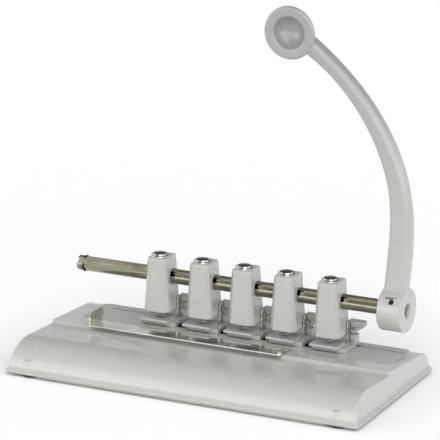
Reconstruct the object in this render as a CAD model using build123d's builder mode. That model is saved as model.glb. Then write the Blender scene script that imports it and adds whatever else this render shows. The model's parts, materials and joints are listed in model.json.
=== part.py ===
from build123d import *
import os
from math import cos, radians, sin

# Adjustable multiple hole punch. X runs along the base, Y to the rear, Z up, in millimetres.
# The origin is the middle of the base on the desk.

# ---- base ----
BASE_LENGTH = 317.5
BASE_DEPTH = 157.0
FLANGE_BOTTOM = 2.6
FLANGE_TOP = 5.0
FLANGE_OVERHANG = 2.5
FLARE_HEIGHT = 2.4
FLARE_TAPER = 42.0
CORNER_RADIUS = 3.5
END_LEAN = 3.4
END_ROUND = 0.8
WALL = 2.6
TABLE_FRONT = (-45.0, 26.0)
TABLE_REAR = (-4.0, 22.8)
SHELF_FRONT = (-1.5, 25.8)
SHELF_REAR = (62.0, 20.8)
BED_Z = 23.8
BED_THICKNESS = 2.8
BED_X = (-136.0, 147.0)
BED_Y = (16.0, 60.0)
CHIP_SLOT_X = (-80.0, 94.0)
CHIP_SLOT_Y = (30.5, 45.5)
RAIL_SLOT_X = (-124.0, 145.0)
RAIL_SLOT_WIDTH = 4.2

# ---- feet and chip pan ----
FOOT_X = 138.5
FOOT_Y = 69.5
FOOT_RADIUS = 8.0
BOSS_RADIUS = 6.0
BOSS_TOP = 14.0
SCREW_RADIUS = 1.5
PAN_BOTTOM = 1.0
PAN_SHEET = 1.4
PAN_TOP = 12.0
PAN_SIZE = (315.0, 154.5)
PAN_TUB = (256.0, 122.0)

# ---- paper guide ----
GUIDE_X = (-117.0, 58.5)
GUIDE_FRONT = -7.0
GUIDE_WIDTH = 20.0
GUIDE_SHEET = 1.0

# ---- drive shaft and lever ----
SHAFT_Y = 38.5
SHAFT_Z = 65.0
SHAFT_RADIUS = 6.35
SHAFT_X = (-149.0, 148.6)
GROOVE_WIDTH = 4.6
GROOVE_FLOOR = 2.75
GROOVE_ANGLE = 36.0
RING_X = -143.0
RING_WIDTH = 1.1
HUB_X = (131.0, 151.6)
HUB_RADIUS = 18.3
SET_SCREW_X = 143.0
SET_SCREW_RADIUS = 2.4
ARM_FRONT = 32.0
ARM_DEPTH = 14.0
ARM_ROUND = 4.5
CUP_CENTRE = (47.4, 288.0)
CUP_FRONT = 31.0

# ---- punch heads ----
HEAD_X = (-70.4, -31.0, 7.4, 45.7, 85.0)
PIN_Y = 33.5
PIN_RADIUS = 3.2
PIN_BOTTOM = 35.7
PIN_GUIDE_RADIUS = 3.25
PLUNGER_RADIUS = 5.6
CHAMBER_RADIUS = 5.75
CHAMBER_BOTTOM = 41.0
PLUNGER_BOTTOM = 51.5
PLUNGER_TOP = 78.0
THROAT_BOTTOM = 30.0
THROAT_TOP = 35.6
COLUMN_TOP = 83.0
COLUMN_REAR = 46.0
# height, half width, front and corner cut of the head casting at its foot and at its top
COLUMN_SECTIONS = ((THROAT_TOP, 12.0, 23.8, 4.0), (COLUMN_TOP, 8.6, 24.6, 3.0))
DIE_PLATE_X = (-14.0, 11.5)
DIE_PLATE_FRONT = 22.5
DIE_PLATE_THICKNESS = 2.2
BRACKET_FOOT_X = (-13.0, 17.3)
BRACKET_FOOT_FRONT = 27.0
LUG_X = (8.6, 17.3)
LUG_Y = (47.0, 55.0)
LUG_TOP = 33.6
CLIP_X = 12.1
CLIP_SHEET = 0.8
CLIP_Y = (40.0, 46.7)
CLIP_TOP = 46.5
THROAT_STOP = 42.3
SLIDING_GAP = 0.1
CAP_RADIUS = 8.0

# ---- head locks, behind and to the right of each head ----
LOCK_X = 14.0
LOCK_Y = 51.0
LOCK_PIVOT_Z = 39.0
BOLT_RADIUS = 1.95
BOLT_BOTTOM = 16.5
BOLT_SHOULDER = 33.9
EYE_HALF_WIDTH = 1.4
TRUNNION_RADIUS = 1.3
LOCK_HALF_WIDTH = 3.2
LOCK_CAM_RADIUS = 4.2
LOCK_TAB_TOP = 6.9
LOCK_TAB_REACH = 10.4


def save(builder, name):
    """Label a finished piece and write it as its own node."""
    builder.part.label = name
    export_step(builder.part, f"parts/{name}.step")


def save_at(shape, x, name):
    """Write a copy of a head piece at its place along the rail."""
    with BuildPart() as placed:
        with Locations((x, 0, 0)):
            add(shape)
    save(placed, name)


def middle(span):
    return (span[0] + span[1]) / 2


def extent(span):
    return span[1] - span[0]


# ---------------------------------------------------------------- base
def base_form(wall, bottom):
    """The closed form of the base, pulled in by a wall thickness."""
    half_y = BASE_DEPTH / 2 - FLANGE_OVERHANG - wall
    half_x = BASE_LENGTH / 2 - FLANGE_OVERHANG - wall
    table_front = (TABLE_FRONT[0], TABLE_FRONT[1] - wall)
    table_rear = (TABLE_REAR[0], TABLE_REAR[1] - wall)
    shelf_front = (SHELF_FRONT[0], SHELF_FRONT[1] - wall)
    shelf_rear = (SHELF_REAR[0] - wall / 2, SHELF_REAR[1] - wall)
    skirt = 6.0
    ceiling = 31 - wall
    with BuildPart() as form:
        with BuildSketch(Plane.YZ):
            with BuildLine():
                Line((-half_y, bottom), (-half_y, skirt))
                Bezier((-half_y, skirt), (-half_y + 1, 19 - wall), (-62, 27.3 - wall), table_front)
                Line(table_front, table_rear)
                Line(table_rear, shelf_front)
                Line(shelf_front, shelf_rear)
                Bezier(shelf_rear, (half_y - 6, 20.0 - wall), (half_y, 16 - wall), (half_y, skirt))
                Line((half_y, skirt), (half_y, bottom))
                Line((half_y, bottom), (-half_y, bottom))
            make_face()
        extrude(amount=half_x, both=True)
        with BuildSketch(Plane.XZ):
            with BuildLine():
                Polyline(
                    (-half_x, bottom),
                    (half_x, bottom),
                    (half_x, skirt),
                    (half_x - END_LEAN, ceiling),
                    (-half_x + END_LEAN, ceiling),
                    (-half_x, skirt),
                    close=True,
                )
            make_face()
        extrude(amount=half_y, both=True, mode=Mode.INTERSECT)
        creases = form.edges().filter_by(
            lambda e: abs(e.center().X) > half_x - END_LEAN - 1 and e.center().Z > skirt + 2
        )
        fillet(creases, END_ROUND)
    return form.part


def build_base_shell():
    outer = base_form(0, FLANGE_BOTTOM)
    cavity = base_form(WALL, 0)
    bed_centre = (middle(BED_X), middle(BED_Y))
    bed_size = (extent(BED_X), extent(BED_Y))
    with BuildPart() as base_shell:
        with BuildSketch(Plane.XY.offset(FLANGE_BOTTOM)):
            RectangleRounded(BASE_LENGTH, BASE_DEPTH, CORNER_RADIUS)
        extrude(amount=FLANGE_TOP - FLANGE_BOTTOM)
        chamfer(base_shell.edges().group_by(Axis.Z)[-1], 0.4)
        # the foot of the wall flares out into the flange
        with BuildSketch(Plane.XY.offset(FLANGE_TOP)):
            RectangleRounded(BASE_LENGTH - 1.2, BASE_DEPTH - 1.2, CORNER_RADIUS - 0.6)
        extrude(amount=FLARE_HEIGHT, taper=FLARE_TAPER)
        add(outer)
        add(cavity, mode=Mode.SUBTRACT)
        # level bed for the heads, let into the front of the shelf and standing above its rear
        with BuildSketch(Plane.XY.offset(BED_Z)):
            with Locations(bed_centre):
                RectangleRounded(*bed_size, 6)
        extrude(amount=10, mode=Mode.SUBTRACT)
        with BuildSketch(Plane.XY.offset(BED_Z)):
            with Locations(bed_centre):
                RectangleRounded(*bed_size, 6)
        extrude(amount=-BED_THICKNESS)
        # flat underside of the bed, where the clamp nuts bear
        with BuildSketch(Plane.XY.offset(BED_Z - BED_THICKNESS)):
            with Locations(bed_centre):
                Rectangle(bed_size[0] - 6, bed_size[1] - 6)
        extrude(amount=-5, mode=Mode.SUBTRACT)
        # slot for the punched chips, under the dies
        with BuildSketch(Plane.XY.offset(BED_Z)):
            with Locations((middle(CHIP_SLOT_X), middle(CHIP_SLOT_Y))):
                RectangleRounded(extent(CHIP_SLOT_X), extent(CHIP_SLOT_Y), 2)
            with Locations((middle(RAIL_SLOT_X), LOCK_Y)):
                SlotOverall(extent(RAIL_SLOT_X), RAIL_SLOT_WIDTH)
        extrude(amount=-BED_THICKNESS * 2, mode=Mode.SUBTRACT)
        # screw bosses over the feet
        with BuildSketch(Plane.XY.offset(FLANGE_BOTTOM)):
            with GridLocations(2 * FOOT_X, 2 * FOOT_Y, 2, 2):
                Circle(BOSS_RADIUS)
        extrude(amount=BOSS_TOP - FLANGE_BOTTOM)
        with BuildSketch(Plane.XY):
            with GridLocations(2 * FOOT_X, 2 * FOOT_Y, 2, 2):
                Circle(SCREW_RADIUS)
        extrude(amount=BOSS_TOP - 3, mode=Mode.SUBTRACT)
    save(base_shell, "base_shell")


def build_feet():
    """Four rubber feet, each with a recess for its screw head."""
    with BuildPart() as rubber_feet:
        with BuildSketch(Plane.XY):
            with GridLocations(2 * FOOT_X, 2 * FOOT_Y, 2, 2):
                Circle(FOOT_RADIUS)
        extrude(amount=FLANGE_BOTTOM)
        chamfer(rubber_feet.edges().group_by(Axis.Z)[0], 0.5)
        with BuildSketch(Plane.XY):
            with GridLocations(2 * FOOT_X, 2 * FOOT_Y, 2, 2):
                Circle(3.4)
        extrude(amount=1.9, mode=Mode.SUBTRACT)
        with BuildSketch(Plane.XY):
            with GridLocations(2 * FOOT_X, 2 * FOOT_Y, 2, 2):
                Circle(SCREW_RADIUS)
        extrude(amount=FLANGE_BOTTOM, mode=Mode.SUBTRACT)
    save(rubber_feet, "rubber_feet")

    with BuildPart() as foot_screws:
        with BuildSketch(Plane.XY.offset(0.6)):
            with GridLocations(2 * FOOT_X, 2 * FOOT_Y, 2, 2):
                Circle(3.0)
        extrude(amount=1.3)
        with BuildSketch(Plane.XY.offset(0.6)):
            with GridLocations(2 * FOOT_X, 2 * FOOT_Y, 2, 2):
                Circle(SCREW_RADIUS)
        extrude(amount=9)
        with BuildSketch(Plane.XY.offset(0.6)):
            with GridLocations(2 * FOOT_X, 2 * FOOT_Y, 2, 2):
                Rectangle(4.4, 0.8)
                Rectangle(0.8, 4.4)
        extrude(amount=0.8, mode=Mode.SUBTRACT)
    save(foot_screws, "foot_screws")


def build_chip_pan():
    """Sheet pan that closes the underside and catches the chips."""
    notch = 2 * (FOOT_RADIUS + 1)
    with BuildPart() as chip_pan:
        with BuildSketch(Plane.XY.offset(PAN_BOTTOM)):
            RectangleRounded(*PAN_SIZE, 6)
            with GridLocations(2 * FOOT_X, 2 * FOOT_Y, 2, 2):
                Rectangle(notch, notch, mode=Mode.SUBTRACT)
            with GridLocations(PAN_SIZE[0], 2 * FOOT_Y, 2, 2):
                Rectangle(notch, notch, mode=Mode.SUBTRACT)
            with GridLocations(2 * FOOT_X, PAN_SIZE[1], 2, 2):
                Rectangle(notch, notch, mode=Mode.SUBTRACT)
        extrude(amount=PAN_SHEET)
        with BuildSketch(Plane.XY.offset(PAN_BOTTOM)):
            RectangleRounded(*PAN_TUB, 5)
        extrude(amount=PAN_TOP - PAN_BOTTOM)
        with BuildSketch(Plane.XY.offset(PAN_BOTTOM + PAN_SHEET)):
            RectangleRounded(PAN_TUB[0] - 2 * PAN_SHEET, PAN_TUB[1] - 2 * PAN_SHEET, 5 - PAN_SHEET)
        extrude(amount=PAN_TOP, mode=Mode.SUBTRACT)
    save(chip_pan, "chip_pan")


def build_paper_guide():
    """Plated strip on the shelf, with its left end turned up as a side stop."""
    fall = (SHELF_FRONT[1] - SHELF_REAR[1]) / (SHELF_REAR[0] - SHELF_FRONT[0])
    on_shelf = Plane(
        origin=(0, SHELF_FRONT[0], SHELF_FRONT[1] + SLIDING_GAP),
        x_dir=(1, 0, 0),
        z_dir=(0, fall, 1),
    )
    front = GUIDE_FRONT - SHELF_FRONT[0]
    ear_root = SHELF_FRONT[1] + SLIDING_GAP
    with BuildPart() as paper_guide:
        with BuildSketch(on_shelf):
            with Locations((middle(GUIDE_X), front + GUIDE_WIDTH / 2)):
                RectangleRounded(extent(GUIDE_X), GUIDE_WIDTH, 1.5)
        extrude(amount=GUIDE_SHEET)
        with BuildSketch(Plane.YZ.offset(GUIDE_X[0])):
            with BuildLine():
                Polyline(
                    (GUIDE_FRONT + 0.3, ear_root + 0.7),
                    (GUIDE_FRONT + 1, ear_root + 7.5),
                    (GUIDE_FRONT + 7, ear_root + 10.9),
                    (GUIDE_FRONT + 23, ear_root + 10.4),
                    (GUIDE_FRONT + 26, ear_root + 5),
                    (GUIDE_FRONT + 20.7, ear_root - 0.9),
                    close=True,
                )
            face = make_face()
            fillet(face.vertices().sort_by(Axis.Z)[2:], 1.8)
        extrude(amount=GUIDE_SHEET)
        # rolled right-hand end
        with BuildSketch(Plane.XZ.offset(-GUIDE_FRONT - 2)):
            with Locations((GUIDE_X[1] - 1.8, ear_root + 1.6)):
                Circle(1.7)
        extrude(amount=-7)
    save(paper_guide, "paper_guide")


# ---------------------------------------------------------------- shaft and lever
def build_drive_shaft():
    """Round shaft with one groove along its whole length, which works the plungers."""
    length = extent(SHAFT_X)
    reach = SHAFT_RADIUS
    centre = (
        SHAFT_Y - (GROOVE_FLOOR + reach / 2) * cos(radians(GROOVE_ANGLE)),
        SHAFT_Z + (GROOVE_FLOOR + reach / 2) * sin(radians(GROOVE_ANGLE)),
    )
    with BuildPart() as drive_shaft:
        with BuildSketch(Plane.YZ.offset(SHAFT_X[0])):
            with Locations((SHAFT_Y, SHAFT_Z)):
                Circle(SHAFT_RADIUS)
        extrude(amount=length)
        chamfer(drive_shaft.edges().filter_by(GeomType.CIRCLE), 0.8)
        with BuildSketch(Plane.YZ.offset(SHAFT_X[0])):
            with Locations(centre):
                Rectangle(reach, GROOVE_WIDTH, rotation=-GROOVE_ANGLE)
        extrude(amount=length, mode=Mode.SUBTRACT)
        with BuildSketch(Plane.YZ.offset(RING_X)):
            with Locations((SHAFT_Y, SHAFT_Z)):
                Circle(SHAFT_RADIUS + 1)
                Circle(SHAFT_RADIUS - 0.7, mode=Mode.SUBTRACT)
        extrude(amount=RING_WIDTH, mode=Mode.SUBTRACT)
    save(drive_shaft, "drive_shaft")

    with BuildPart() as retaining_ring:
        with BuildSketch(Plane.YZ.offset(RING_X)):
            with Locations((SHAFT_Y, SHAFT_Z)):
                Circle(SHAFT_RADIUS + 0.6)
                Circle(SHAFT_RADIUS - 0.7, mode=Mode.SUBTRACT)
            with Locations(centre):
                Rectangle(reach, GROOVE_WIDTH, rotation=-GROOVE_ANGLE, mode=Mode.SUBTRACT)
        extrude(amount=RING_WIDTH)
    save(retaining_ring, "retaining_ring")


def set_screw_plane(radius):
    """Plane square to the set screw, at a distance from the shaft axis."""
    out = (0, -cos(radians(GROOVE_ANGLE)), sin(radians(GROOVE_ANGLE)))
    origin = (SET_SCREW_X, SHAFT_Y + out[1] * radius, SHAFT_Z + out[2] * radius)
    return Plane(origin=origin, x_dir=(1, 0, 0), z_dir=out)


def build_lever():
    """Cast lever: hub on the shaft, curved arm, and a dished finger cup at the end."""
    with BuildPart() as lever:
        with BuildSketch(Plane.XZ.offset(-ARM_FRONT)):
            with BuildLine():
                inner = Spline(
                    (131.8, 82),
                    (135.8, 128),
                    (134.2, 166),
                    (125.2, 195.6),
                    (104.2, 232.0),
                    (76.0, 261.0),
                    (60.0, 272.0),
                )
                outer = Spline(
                    (151.2, 82),
                    (154.6, 119),
                    (151.8, 163),
                    (140.8, 198),
                    (113.8, 240.8),
                    (80.5, 273.6),
                    (62.0, 287.5),
                )
                Line(outer @ 1, inner @ 1)
                Polyline(inner @ 0, (134, SHAFT_Z), (149.5, SHAFT_Z), outer @ 0)
            make_face()
        extrude(amount=-ARM_DEPTH)
        front = lever.faces().filter_by(Plane.XZ).sort_by(Axis.Y)[0]
        rear = lever.faces().filter_by(Plane.XZ).sort_by(Axis.Y)[-1]
        long_edges = (front.edges() + rear.edges()).filter_by(GeomType.BSPLINE)
        fillet(long_edges, ARM_ROUND)
        # hub
        with BuildSketch(Plane.YZ.offset(HUB_X[0])):
            with Locations((SHAFT_Y, SHAFT_Z)):
                Circle(HUB_RADIUS)
        extrude(amount=extent(HUB_X))
        rims = lever.edges().filter_by(GeomType.CIRCLE).filter_by(lambda e: e.radius > HUB_RADIUS - 1)
        fillet(rims.filter_by_position(Axis.X, HUB_X[0] - 1, HUB_X[0] + 1), 1.8)
        # dished cup
        with BuildSketch(Plane.XY.offset(CUP_CENTRE[1])):
            with BuildLine():
                x, y = CUP_CENTRE[0], CUP_FRONT
                bowl = ThreePointArc((x, y + 11.5), (x + 9.2, y + 8.3), (x + 13.4, y + 1.2))
                lip = ThreePointArc(bowl @ 1, (x + 14.3, y + 0.2), (x + 15.8, y))
                rim = Line(lip @ 1, (x + 20, y))
                side = ThreePointArc(rim @ 1, (x + 21.7, y + 0.8), (x + 22.2, y + 2.6))
                back = ThreePointArc(side @ 1, (x + 17.5, y + 9.8), (x, y + 16.3))
                Line(back @ 1, bowl @ 0)
            make_face()
        revolve(axis=Axis((CUP_CENTRE[0], 0, CUP_CENTRE[1]), (0, 1, 0)), mode=Mode.ADD)
        # the bowl itself stays clear of the arm
        with BuildSketch(Plane.XY.offset(CUP_CENTRE[1])):
            with BuildLine():
                bowl = ThreePointArc((x, y + 11.5), (x + 9.2, y + 8.3), (x + 13.4, y + 1.2))
                Polyline(bowl @ 1, (x + 13.4, y - 2), (x, y - 2), bowl @ 0)
            make_face()
        revolve(axis=Axis((CUP_CENTRE[0], 0, CUP_CENTRE[1]), (0, 1, 0)), mode=Mode.SUBTRACT)
        # shaft bore and set screw hole
        with BuildSketch(Plane.YZ.offset(HUB_X[0])):
            with Locations((SHAFT_Y, SHAFT_Z)):
                Circle(SHAFT_RADIUS)
        extrude(amount=extent(HUB_X), mode=Mode.SUBTRACT)
        with BuildSketch(set_screw_plane(0)):
            Circle(SET_SCREW_RADIUS)
        extrude(amount=HUB_RADIUS + 2, mode=Mode.SUBTRACT)
    save(lever, "lever")

    with BuildPart() as set_screw:
        with BuildSketch(set_screw_plane(GROOVE_FLOOR)):
            Circle(2.1)
        extrude(amount=SHAFT_RADIUS - GROOVE_FLOOR + 0.5)
        with BuildSketch(set_screw_plane(SHAFT_RADIUS + 0.4)):
            Circle(SET_SCREW_RADIUS)
        extrude(amount=6.5)
        with BuildSketch(set_screw_plane(SHAFT_RADIUS + 4)):
            RegularPolygon(1.3, 6)
        extrude(amount=8, mode=Mode.SUBTRACT)
    save(set_screw, "set_screw")


# ---------------------------------------------------------------- punch heads
def head_body_shape():
    """Cast head: tapered column with the plunger bore and the cross bore for the shaft."""
    with BuildPart() as head_body:
        for height, half_width, front, cut in COLUMN_SECTIONS:
            with BuildSketch(Plane.XY.offset(height)):
                with BuildLine():
                    Polyline(
                        (-half_width, COLUMN_REAR),
                        (-half_width, front + cut),
                        (-half_width + cut, front),
                        (half_width - cut, front),
                        (half_width, front + cut),
                        (half_width, COLUMN_REAR),
                        close=True,
                    )
                make_face()
        loft()
        uprights = head_body.edges().filter_by(lambda e: e.length > 40)
        fillet(uprights.sort_by(Axis.Y)[:4], 1.6)
        fillet(head_body.faces().sort_by(Axis.Z)[-1].edges(), 1.6)
        lower = head_body.faces().sort_by(Axis.Z)[0].edges()
        fillet(lower.sort_by(Axis.Y)[:5], 1.2)
        with BuildSketch(Plane.XY.offset(CHAMBER_BOTTOM)):
            with Locations((0, PIN_Y)):
                Circle(CHAMBER_RADIUS)
        extrude(amount=COLUMN_TOP - CHAMBER_BOTTOM, mode=Mode.SUBTRACT)
        with BuildSketch(Plane.XY.offset(THROAT_TOP)):
            with Locations((0, PIN_Y)):
                Circle(PIN_GUIDE_RADIUS)
        extrude(amount=CHAMBER_BOTTOM - THROAT_TOP, mode=Mode.SUBTRACT)
        with BuildSketch(Plane.YZ.offset(-15)):
            with Locations((SHAFT_Y, SHAFT_Z)):
                Circle(SHAFT_RADIUS + 0.05)
        extrude(amount=30, mode=Mode.SUBTRACT)
        with BuildSketch(Plane.XY.offset(THROAT_TOP)):
            with Locations((-7, COLUMN_REAR - 2), (7, COLUMN_REAR - 2)):
                Circle(1.25)
        extrude(amount=9, mode=Mode.SUBTRACT)
    return head_body.part


def head_cap_shape():
    """Plug that closes the plunger bore: a bevelled ring around a slightly crowned raised disc."""
    ring_top = COLUMN_TOP + 1.6
    skirt_bottom = COLUMN_TOP - 3.5
    with BuildPart() as head_cap:
        with BuildSketch(Plane.XZ.offset(-PIN_Y)):
            with BuildLine():
                dome = ThreePointArc(
                    (0, COLUMN_TOP + 3.2),
                    (3.3, COLUMN_TOP + 3.05),
                    (CAP_RADIUS - 2.4, COLUMN_TOP + 2.6),
                )
                Polyline(
                    dome @ 1,
                    (CAP_RADIUS - 1.7, ring_top),
                    (CAP_RADIUS - 0.8, ring_top),
                    (CAP_RADIUS, ring_top - 0.8),
                    (CAP_RADIUS, COLUMN_TOP),
                    (CHAMBER_RADIUS, COLUMN_TOP),
                    (CHAMBER_RADIUS, skirt_bottom),
                    (CHAMBER_RADIUS - 1.4, skirt_bottom),
                    (CHAMBER_RADIUS - 1.4, COLUMN_TOP),
                    (0, COLUMN_TOP),
                    dome @ 0,
                )
            make_face()
        revolve(axis=Axis((0, PIN_Y, 0), (0, 0, 1)))
    return head_cap.part


def slab(x_span, y_span, z_span):
    """A plain block between two values along each axis."""
    with BuildPart() as block:
        with BuildSketch(Plane.XY.offset(z_span[0])):
            with Locations((middle(x_span), middle(y_span))):
                Rectangle(extent(x_span), extent(y_span))
        extrude(amount=extent(z_span))
    return block.part


def die_bracket_shape():
    """Foot and die plate, with the rear wall that spaces the throat, and the lug for the head lock."""
    bottom = BED_Z + SLIDING_GAP
    foot_top = THROAT_BOTTOM - DIE_PLATE_THICKNESS
    with BuildPart() as die_bracket:
        add(slab(BRACKET_FOOT_X, (BRACKET_FOOT_FRONT, COLUMN_REAR), (bottom, foot_top)))
        add(slab(LUG_X, (COLUMN_REAR - 1, LUG_Y[1]), (bottom, foot_top)))
        add(slab(LUG_X, LUG_Y, (foot_top, LUG_TOP)))
        add(slab(DIE_PLATE_X, (DIE_PLATE_FRONT, COLUMN_REAR), (foot_top, THROAT_BOTTOM)))
        add(slab(DIE_PLATE_X, (THROAT_STOP, COLUMN_REAR), (THROAT_BOTTOM, THROAT_TOP)))
        with BuildSketch(Plane.XY.offset(bottom)):
            with Locations((LOCK_X, LOCK_Y)):
                Circle(BOLT_RADIUS + 0.1)
            with Locations((0, PIN_Y)):
                Circle(PIN_RADIUS + 0.15)
            with Locations((-7, COLUMN_REAR - 2), (7, COLUMN_REAR - 2)):
                Circle(1.25)
        extrude(amount=THROAT_TOP, mode=Mode.SUBTRACT)
        with BuildSketch(Plane.XY.offset(bottom)):
            with Locations((-7, COLUMN_REAR - 2), (7, COLUMN_REAR - 2)):
                Circle(1.9)
            with Locations((0, PIN_Y)):
                Circle(PIN_RADIUS + 1)
        extrude(amount=2, mode=Mode.SUBTRACT)
    return die_bracket.part


def lock_clip_shape():
    """Plated strap that stands on the bracket's foot beside the head."""
    foot_top = THROAT_BOTTOM - DIE_PLATE_THICKNESS
    with BuildPart() as lock_clip:
        with BuildSketch(Plane.YZ.offset(CLIP_X)):
            with BuildLine():
                Polyline(
                    (CLIP_Y[0], foot_top),
                    (CLIP_Y[0], CLIP_TOP - 5),
                    (CLIP_Y[0] + 2, CLIP_TOP),
                    (CLIP_Y[1], CLIP_TOP - 1),
                    (CLIP_Y[1], foot_top),
                    close=True,
                )
            make_face()
            with Locations((middle(CLIP_Y) + 0.4, CLIP_TOP - 5)):
                Circle(1.3, mode=Mode.SUBTRACT)
        extrude(amount=CLIP_SHEET)
    return lock_clip.part


def head_screws_shape():
    """Two screws that hold the head casting down on the die bracket."""
    bottom = BED_Z + SLIDING_GAP
    with BuildPart() as head_screws:
        with BuildSketch(Plane.XY.offset(bottom + 0.2)):
            with Locations((-7, COLUMN_REAR - 2), (7, COLUMN_REAR - 2)):
                Circle(1.9)
        extrude(amount=1.8)
        with BuildSketch(Plane.XY.offset(bottom + 2)):
            with Locations((-7, COLUMN_REAR - 2), (7, COLUMN_REAR - 2)):
                Circle(1.25)
        extrude(amount=17.5)
    return head_screws.part


def punch_pin_shape():
    """Plunger and cutting pin in one, with a tooth that sits in the groove of the shaft."""
    tooth_y = SHAFT_Y - 4.9
    tooth_z = SHAFT_Z + 3.56
    plate_rear = SHAFT_Y - SHAFT_RADIUS - 0.35
    shoulder = SHAFT_Z - SHAFT_RADIUS - 0.35
    with BuildPart() as punch_pin:
        with BuildSketch(Plane.XY.offset(PIN_BOTTOM)):
            with Locations((0, PIN_Y)):
                Circle(PIN_RADIUS)
        extrude(amount=PLUNGER_BOTTOM - PIN_BOTTOM)
        with BuildSketch(Plane.XY.offset(PLUNGER_BOTTOM)):
            with Locations((0, PIN_Y)):
                Circle(PLUNGER_RADIUS)
        extrude(amount=PLUNGER_TOP - PLUNGER_BOTTOM)
        with BuildSketch(Plane.XY.offset(shoulder)):
            with Locations((0, plate_rear + 6)):
                Rectangle(14, 12)
        extrude(amount=PLUNGER_TOP, mode=Mode.SUBTRACT)
        with BuildSketch(Plane.YZ.offset(-3.6)):
            with Locations((tooth_y, tooth_z)):
                Circle(1.5)
            with Locations(((tooth_y + plate_rear) / 2 - 0.4, tooth_z)):
                Rectangle(tooth_y - plate_rear + 0.8, 2.0)
        extrude(amount=7.2)
    return punch_pin.part


def return_spring_shape():
    """Open coil spring between the guide and the plunger."""
    wire = 0.45
    start = CHAMBER_BOTTOM + wire + 0.1
    height = PLUNGER_BOTTOM - CHAMBER_BOTTOM - 2 * wire - 0.2
    with BuildPart() as return_spring:
        with BuildLine(Plane((0, PIN_Y, start))) as coil:
            Helix(pitch=height / 5, height=height, radius=4.5)
        with BuildSketch(Plane(origin=coil.line @ 0, z_dir=coil.line % 0)):
            Circle(wire)
        sweep(is_frenet=True)
    return return_spring.part


def clamp_bolt_shape():
    """T-bolt of the head lock: shank through the rail slot, and trunnions for the lever."""
    with BuildPart() as clamp_bolt:
        with BuildSketch(Plane.XY.offset(BOLT_BOTTOM)):
            with Locations((LOCK_X, LOCK_Y)):
                Circle(BOLT_RADIUS)
        extrude(amount=BOLT_SHOULDER - BOLT_BOTTOM)
        with BuildSketch(Plane.XY.offset(BOLT_SHOULDER)):
            with Locations((LOCK_X, LOCK_Y)):
                Rectangle(2 * BOLT_RADIUS, 2 * EYE_HALF_WIDTH)
        extrude(amount=LOCK_PIVOT_Z - BOLT_SHOULDER)
        with BuildSketch(Plane.XZ.offset(-LOCK_Y)):
            with Locations((LOCK_X, LOCK_PIVOT_Z)):
                Circle(2.6)
        extrude(amount=EYE_HALF_WIDTH, both=True)
        with BuildSketch(Plane.XZ.offset(-LOCK_Y)):
            with Locations((LOCK_X, LOCK_PIVOT_Z)):
                Circle(TRUNNION_RADIUS)
        extrude(amount=LOCK_HALF_WIDTH, both=True)
    return clamp_bolt.part


def clamp_nut_shape():
    """Plate nut that bears on the underside of the bed."""
    thickness = 3.0
    with BuildPart() as clamp_nut:
        with BuildSketch(Plane.XY.offset(BED_Z - BED_THICKNESS - SLIDING_GAP)):
            with Locations((LOCK_X, LOCK_Y)):
                RectangleRounded(12, 7, 1)
                Circle(BOLT_RADIUS, mode=Mode.SUBTRACT)
        extrude(amount=-thickness)
    return clamp_nut.part


def lock_lever_shape():
    """Cam lever of the head lock: a fork round the bolt's eye, under a flat thumb tab."""
    across = Plane(origin=(LOCK_X, LOCK_Y, LOCK_PIVOT_Z), x_dir=(1, 0, 0), z_dir=(0, -1, 0))
    cam = LOCK_CAM_RADIUS
    with BuildPart() as lock_lever:
        with BuildSketch(across):
            Circle(cam)
            with BuildLine():
                Polyline(
                    (-cam, 0),
                    (-cam + 0.4, LOCK_TAB_TOP),
                    (LOCK_TAB_REACH, LOCK_TAB_TOP - 0.3),
                    (LOCK_TAB_REACH + 0.3, LOCK_TAB_TOP - 4.2),
                    (cam * 0.7, -cam * 0.7),
                    close=True,
                )
            make_face()
        extrude(amount=LOCK_HALF_WIDTH, both=True)
        with BuildSketch(across):
            with Locations((-cam - 1, -cam - 1)):
                Rectangle(2 * cam + 1.2, 2 * cam + 0.4, align=(Align.MIN, Align.MIN))
        extrude(amount=EYE_HALF_WIDTH + 0.15, both=True, mode=Mode.SUBTRACT)
        with BuildSketch(across):
            Circle(TRUNNION_RADIUS + 0.05)
        extrude(amount=LOCK_HALF_WIDTH, both=True, mode=Mode.SUBTRACT)
    return lock_lever.part


def build_heads():
    shapes = {
        "head_body": head_body_shape(),
        "head_cap": head_cap_shape(),
        "die_bracket": die_bracket_shape(),
        "head_screws": head_screws_shape(),
        "punch_pin": punch_pin_shape(),
        "return_spring": return_spring_shape(),
        "clamp_bolt": clamp_bolt_shape(),
        "clamp_nut": clamp_nut_shape(),
        "lock_clip": lock_clip_shape(),
        "lock_lever": lock_lever_shape(),
    }
    for index, x in enumerate(HEAD_X):
        for name, shape in shapes.items():
            save_at(shape, x, f"{name}_{index + 1}")


os.makedirs("parts", exist_ok=True)
build_base_shell()
build_feet()
build_chip_pan()
build_paper_guide()
build_drive_shaft()
build_lever()
build_heads()
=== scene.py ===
import bpy
import json
import math
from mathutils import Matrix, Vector

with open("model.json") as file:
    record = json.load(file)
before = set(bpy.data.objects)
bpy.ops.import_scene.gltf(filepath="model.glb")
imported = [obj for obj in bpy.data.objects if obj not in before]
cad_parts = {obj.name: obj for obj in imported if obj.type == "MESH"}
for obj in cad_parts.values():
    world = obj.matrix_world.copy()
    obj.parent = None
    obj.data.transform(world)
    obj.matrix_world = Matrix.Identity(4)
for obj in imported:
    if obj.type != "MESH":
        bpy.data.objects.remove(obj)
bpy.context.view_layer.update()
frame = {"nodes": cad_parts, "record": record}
NODES = frame["nodes"]
SLOT_OF = {entry["node"]: entry["material_slot"] for entry in frame["record"]["subparts"]}


# ---------------------------------------------------------------- shader helpers
def set_ranges(node, low, high, to_low, to_high):
    """Fills the four limits of a Map Range node."""
    node.inputs["From Min"].default_value = low
    node.inputs["From Max"].default_value = high
    node.inputs["To Min"].default_value = to_low
    node.inputs["To Max"].default_value = to_high


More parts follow.
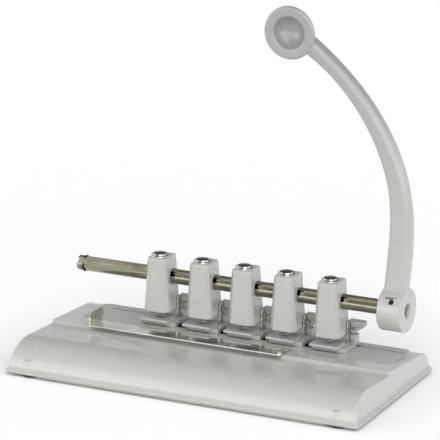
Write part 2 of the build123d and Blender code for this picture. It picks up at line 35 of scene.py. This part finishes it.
class Shader:
    """A Principled material with short names for the nodes that feed it."""

    def __init__(self, name):
        self.material = bpy.data.materials.new(name)
        self.material.use_nodes = True
        self.nodes = self.material.node_tree.nodes
        self.links = self.material.node_tree.links
        self.surface = self.nodes["Principled BSDF"]
        self.place = self.nodes.new("ShaderNodeTexCoord").outputs["Object"]

    def set(self, **values):
        for key, value in values.items():
            self.surface.inputs[key.replace("_", " ")].default_value = value

    def join(self, output, socket):
        self.links.new(output, self.surface.inputs[socket])

    def stretched(self, scale):
        mapping = self.nodes.new("ShaderNodeMapping")
        mapping.inputs["Scale"].default_value = scale
        self.links.new(self.place, mapping.inputs["Vector"])
        return mapping.outputs["Vector"]

    def noise(self, scale, detail=3.0, rough=0.55, vector=None):
        node = self.nodes.new("ShaderNodeTexNoise")
        node.inputs["Scale"].default_value = scale
        node.inputs["Detail"].default_value = detail
        node.inputs["Roughness"].default_value = rough
        self.links.new(vector or self.place, node.inputs["Vector"])
        return node.outputs["Fac"]

    def remap(self, value, low, high, to_low, to_high):
        node = self.nodes.new("ShaderNodeMapRange")
        set_ranges(node, low, high, to_low, to_high)
        self.links.new(value, node.inputs["Value"])
        return node.outputs["Result"]

    def blend(self, factor, first, second):
        node = self.nodes.new("ShaderNodeMix")
        node.data_type = "RGBA"
        self.links.new(factor, node.inputs["Factor"])
        for socket, colour in ((node.inputs[6], first), (node.inputs[7], second)):
            if isinstance(colour, tuple):
                socket.default_value = (*colour, 1.0)
            else:
                self.links.new(colour, socket)
        return node.outputs[2]

    def bump(self, height, strength, distance, after=None):
        node = self.nodes.new("ShaderNodeBump")
        node.inputs["Strength"].default_value = strength
        node.inputs["Distance"].default_value = distance
        self.links.new(height, node.inputs["Height"])
        if after is not None:
            self.links.new(after, node.inputs["Normal"])
        return node.outputs["Normal"]


    def crevice(self, reach):
        """How open a point is to its surroundings, 0 in a slot to 1 on a free face."""
        node = self.nodes.new("ShaderNodeAmbientOcclusion")
        node.samples = 8
        node.inputs["Distance"].default_value = reach
        return node.outputs["AO"]

    def rounded(self, radius):
        """Surface direction with creases softened to a radius."""
        node = self.nodes.new("ShaderNodeBevel")
        node.samples = 6
        node.inputs["Radius"].default_value = radius
        return node.outputs["Normal"]


def tint(colour, factor):
    return tuple(channel * factor for channel in colour)


def enamel(name, colour, peel, uneven, soft, shade_heights=None):
    """Stoved enamel: a clear glossy top with orange peel, slight clouding, and dust specks.

    soft is the radius that the paint gives to creases. Painted shade darkens the paint in
    slots and creases and, when the last argument gives a range of heights, up that range.
    """
    shader = Shader(name)
    cloud = shader.remap(shader.noise(14.0, 4.0), 0.35, 0.68, 0.0, 1.0)
    base = shader.blend(cloud, tint(colour, 0.996), colour)
    handled = shader.remap(shader.noise(55.0, 6.0, 0.7), 0.62, 0.80, 0.0, 0.03)
    base = shader.blend(handled, base, tint(colour, 0.90))
    # painted shade: the paint darkens by up to a third towards the top of the given height range
    if shade_heights is not None:
        height = shader.nodes.new("ShaderNodeSeparateXYZ")
        shader.links.new(shader.place, height.inputs[0])
        height_shade = shader.remap(height.outputs["Z"], shade_heights[0], shade_heights[1], 0.0, 1.0)
        base = shader.blend(height_shade, base, tint(colour, 0.66))
    speck = shader.remap(shader.noise(1500.0, 1.0), 0.80, 0.84, 0.0, 0.5)
    base = shader.blend(speck, base, (0.16, 0.15, 0.13))
    # painted shade: the paint turns almost black where it is closed in, in slots, creases and between
    # parts
    crevice_shade = shader.remap(shader.crevice(0.006), 0.24, 0.52, 0.80, 0.0)
    base = shader.blend(crevice_shade, base, (0.045, 0.043, 0.036))
    shader.join(base, "Base Color")
    shader.join(shader.remap(shader.noise(38.0, 5.0, 0.6), 0.3, 0.7, 0.265, 0.285), "Roughness")
    fine = shader.bump(shader.noise(620.0, 2.0), peel, 0.0003, shader.rounded(soft))
    coarse = shader.bump(shader.noise(75.0, 3.0), uneven, 0.0008, fine)
    shader.join(coarse, "Normal")
    shader.set(Coat_Weight=0.6, Coat_Roughness=0.07, IOR=1.5)
    return shader.material


def metal(name, colour, rough, along, streak, shade=0.75):
    """Bare or plated metal with fine drawn or ground lines along one direction."""
    shader = Shader(name)
    lines = shader.noise(900.0, 4.0, 0.6, shader.stretched(along))
    stain = shader.remap(shader.noise(60.0, 5.0, 0.65), 0.42, 0.66, 0.0, 1.0)
    base = shader.blend(stain, colour, tint(colour, shade))
    base = shader.blend(shader.remap(lines, 0.35, 0.7, 0.0, 0.5), base, tint(colour, 0.86))
    shader.join(base, "Base Color")
    shader.join(shader.remap(lines, 0.3, 0.7, rough * 0.75, rough * 1.3), "Roughness")
    shader.join(shader.bump(lines, streak, 0.0002), "Normal")
    shader.set(Metallic=1.0)
    return shader.material


def capped(name, bright, dark):
    """A polished cap whose flat top carries a painted dark reflection, so that only the rolled rim
    shines.
    """
    shader = Shader(name)
    facing = shader.nodes.new("ShaderNodeSeparateXYZ")
    shader.links.new(shader.nodes.new("ShaderNodeTexCoord").outputs["Normal"], facing.inputs[0])
    # painted reflection: faces turned up take the dark colour, standing for the dim room they would
    # reflect, mottled by noise
    top = shader.remap(facing.outputs["Z"], 0.80, 0.93, 0.0, 1.0)
    reflection_mottle = shader.remap(shader.noise(420.0, 4.0, 0.6), 0.42, 0.66, 0.0, 0.5)
    painted_reflection = shader.blend(reflection_mottle, dark, tint(dark, 2.2))
    shader.join(shader.blend(top, bright, painted_reflection), "Base Color")
    shader.join(shader.remap(shader.noise(700.0, 3.0), 0.3, 0.7, 0.12, 0.22), "Roughness")
    shader.join(shader.bump(shader.noise(900.0, 3.0), 0.05, 0.0002), "Normal")
    shader.set(Metallic=1.0)
    return shader.material


def rubber(name, colour):
    """Moulded rubber, matt, with dust in its grain."""
    shader = Shader(name)
    dust = shader.remap(shader.noise(240.0, 5.0, 0.7), 0.5, 0.75, 0.0, 0.6)
    shader.join(shader.blend(dust, colour, (0.09, 0.088, 0.08)), "Base Color")
    shader.join(shader.remap(shader.noise(400.0, 3.0), 0.3, 0.7, 0.6, 0.85), "Roughness")
    shader.join(shader.bump(shader.noise(1800.0, 2.0), 0.3, 0.0002), "Normal")
    return shader.material


PAINT = (0.385, 0.388, 0.372)
MATERIALS = {
    "enamel": enamel("enamel", PAINT, 0.02, 0.004, 0.0035),
    # casting paint: the last pair is the height range of painted shade, darker towards the top
    "casting_paint": enamel("casting_paint", tint(PAINT, 0.93), 0.05, 0.01, 0.0012, (0.06, 0.30)),
    "pan_sheet": enamel("pan_sheet", (0.34, 0.34, 0.32), 0.04, 0.01, 0.0008),
    "plated_strip": metal("plated_strip", (0.66, 0.65, 0.59), 0.12, (0.03, 1.0, 1.0), 0.10),
    "shaft_steel": metal("shaft_steel", (0.33, 0.318, 0.245), 0.10, (0.02, 1.0, 1.0), 0.12, 0.7),
    # chrome cap: the second colour is the painted dark reflection on its flat top
    "cap_chrome": capped("cap_chrome", (0.55, 0.55, 0.53), (0.10, 0.10, 0.095)),
    "tool_steel": metal("tool_steel", (0.50, 0.50, 0.50), 0.28, (1.0, 1.0, 0.05), 0.15),
    "spring_steel": metal("spring_steel", (0.42, 0.42, 0.43), 0.30, (0.3, 0.3, 1.0), 0.10),
    "screw_steel": metal("screw_steel", (0.46, 0.46, 0.46), 0.30, (1.0, 1.0, 0.2), 0.12),
    "blued_steel": metal("blued_steel", (0.07, 0.07, 0.07), 0.35, (1.0, 1.0, 0.3), 0.15),
    "foot_rubber": rubber("foot_rubber", (0.025, 0.025, 0.025)),
}

# ---------------------------------------------------------------- CAD nodes: finishes and softened edges
EDGE = {"enamel": 0.0005, "casting_paint": 0.0006, "plated_strip": 0.00025, "foot_rubber": 0.0005}
FINE_EDGE = 0.0002
SHARPEST_LEFT = math.radians(35)
MERGE = 1e-6
for name, node in NODES.items():
    slot = SLOT_OF[name]
    node.data.materials.clear()
    node.data.materials.append(MATERIALS[slot])
    weld = node.modifiers.new("weld", "WELD")
    weld.merge_threshold = MERGE
    bevel = node.modifiers.new("bevel", "BEVEL")
    bevel.width = EDGE.get(slot, FINE_EDGE)
    bevel.segments = 2
    bevel.limit_method = "ANGLE"
    bevel.angle_limit = SHARPEST_LEFT
    bevel.harden_normals = True

# ---------------------------------------------------------------- floor, light, camera
FLOOR_REACH = 6.0
FLOOR_WHITE = 0.93
corners = [
    (-FLOOR_REACH, -FLOOR_REACH, 0),
    (FLOOR_REACH, -FLOOR_REACH, 0),
    (FLOOR_REACH, FLOOR_REACH, 0),
    (-FLOOR_REACH, FLOOR_REACH, 0),
]
floor_mesh = bpy.data.meshes.new("floor")
floor_mesh.from_pydata(corners, [], [(0, 1, 2, 3)])
floor = bpy.data.objects.new("floor", floor_mesh)
bpy.context.scene.collection.objects.link(floor)
floor_shader = Shader("floor")
floor_shader.set(Base_Color=(FLOOR_WHITE, FLOOR_WHITE, FLOOR_WHITE, 1.0), Roughness=0.9)
floor_mesh.materials.append(floor_shader.material)

world = bpy.data.worlds.new("studio")
bpy.context.scene.world = world
world.use_nodes = True
sky = world.node_tree
background = sky.nodes["Background"]
direction = sky.nodes.new("ShaderNodeSeparateXYZ")
sky.links.new(sky.nodes.new("ShaderNodeTexCoord").outputs["Generated"], direction.inputs[0])


def sky_step(axis, low, high, to_low, to_high):
    """A smooth change of brightness across the sky, along one axis of the view direction."""
    node = sky.nodes.new("ShaderNodeMapRange")
    node.interpolation_type = "SMOOTHSTEP"
    set_ranges(node, low, high, to_low, to_high)
    sky.links.new(direction.outputs[axis], node.inputs["Value"])
    return node.outputs["Result"]


def sky_math(kind, first, second):
    """One sum or product of two brightnesses; a plain number may stand for either."""
    node = sky.nodes.new("ShaderNodeMath")
    node.operation = kind
    for socket, value in zip(node.inputs, (first, second)):
        if isinstance(value, float):
            socket.default_value = value
        else:
            sky.links.new(value, socket)
    return node.outputs["Value"]


# brightness of the soft boxes at both sides, the low front, the walls near the floor, and the dim ceiling
RIGHT_BOX = 1.45
LEFT_BOX = 0.85
FRONT_FILL = 1.9
LOW_WALLS = 0.75
CEILING = 0.30
right_box = sky_step("X", 0.50, 0.72, 0.0, RIGHT_BOX)
left_box = sky_step("X", -0.72, -0.50, LEFT_BOX, 0.0)
below_box_top = sky_step("Z", 0.75, 0.95, 1.0, 0.0)
boxes = sky_math("MULTIPLY", sky_math("ADD", right_box, left_box), below_box_top)
ahead = sky_step("Y", -0.75, -0.25, FRONT_FILL, 0.0)
front = sky_math("MULTIPLY", ahead, sky_step("Z", 0.40, 0.80, 1.0, 0.0))
walls = sky_step("Z", 0.12, 0.27, LOW_WALLS, 0.0)
total = sky_math("ADD", sky_math("ADD", boxes, front), sky_math("ADD", walls, CEILING))
sky.links.new(total, background.inputs["Strength"])
background.inputs["Color"].default_value = (1.0, 1.0, 1.0, 1.0)


def sunlight(name, towards, strength, spread):
    """A distant lamp that shines along a direction, with an apparent width in degrees."""
    data = bpy.data.lights.new(name, "SUN")
    data.energy = strength
    data.angle = math.radians(spread)
    sun = bpy.data.objects.new(name, data)
    sun.rotation_mode = "QUATERNION"
    sun.rotation_quaternion = Vector(towards).to_track_quat("-Z", "Y")
    bpy.context.scene.collection.objects.link(sun)


sunlight("key", (-0.35, 0.45, -0.85), 0.85, 40)

AZIMUTH = math.radians(25.4)
ELEVATION = math.radians(17.3)
TARGET = Vector((0.001, 0.0, 0.1331))
DISTANCE = 3.0
BACK = Vector(
    (
        math.sin(AZIMUTH) * math.cos(ELEVATION),
        -math.cos(AZIMUTH) * math.cos(ELEVATION),
        math.sin(ELEVATION),
    )
)
camera_data = bpy.data.cameras.new("camera")
camera_data.sensor_width = 36.0
camera_data.lens = 300.87
camera_data.clip_start = 0.1
camera_data.clip_end = 30.0
camera = bpy.data.objects.new("camera", camera_data)
camera.location = TARGET + BACK * DISTANCE
camera.rotation_mode = "QUATERNION"
camera.rotation_quaternion = (-BACK).to_track_quat("-Z", "Y")
bpy.context.scene.collection.objects.link(camera)
bpy.context.scene.camera = camera
bpy.context.scene.view_settings.view_transform = "Standard"
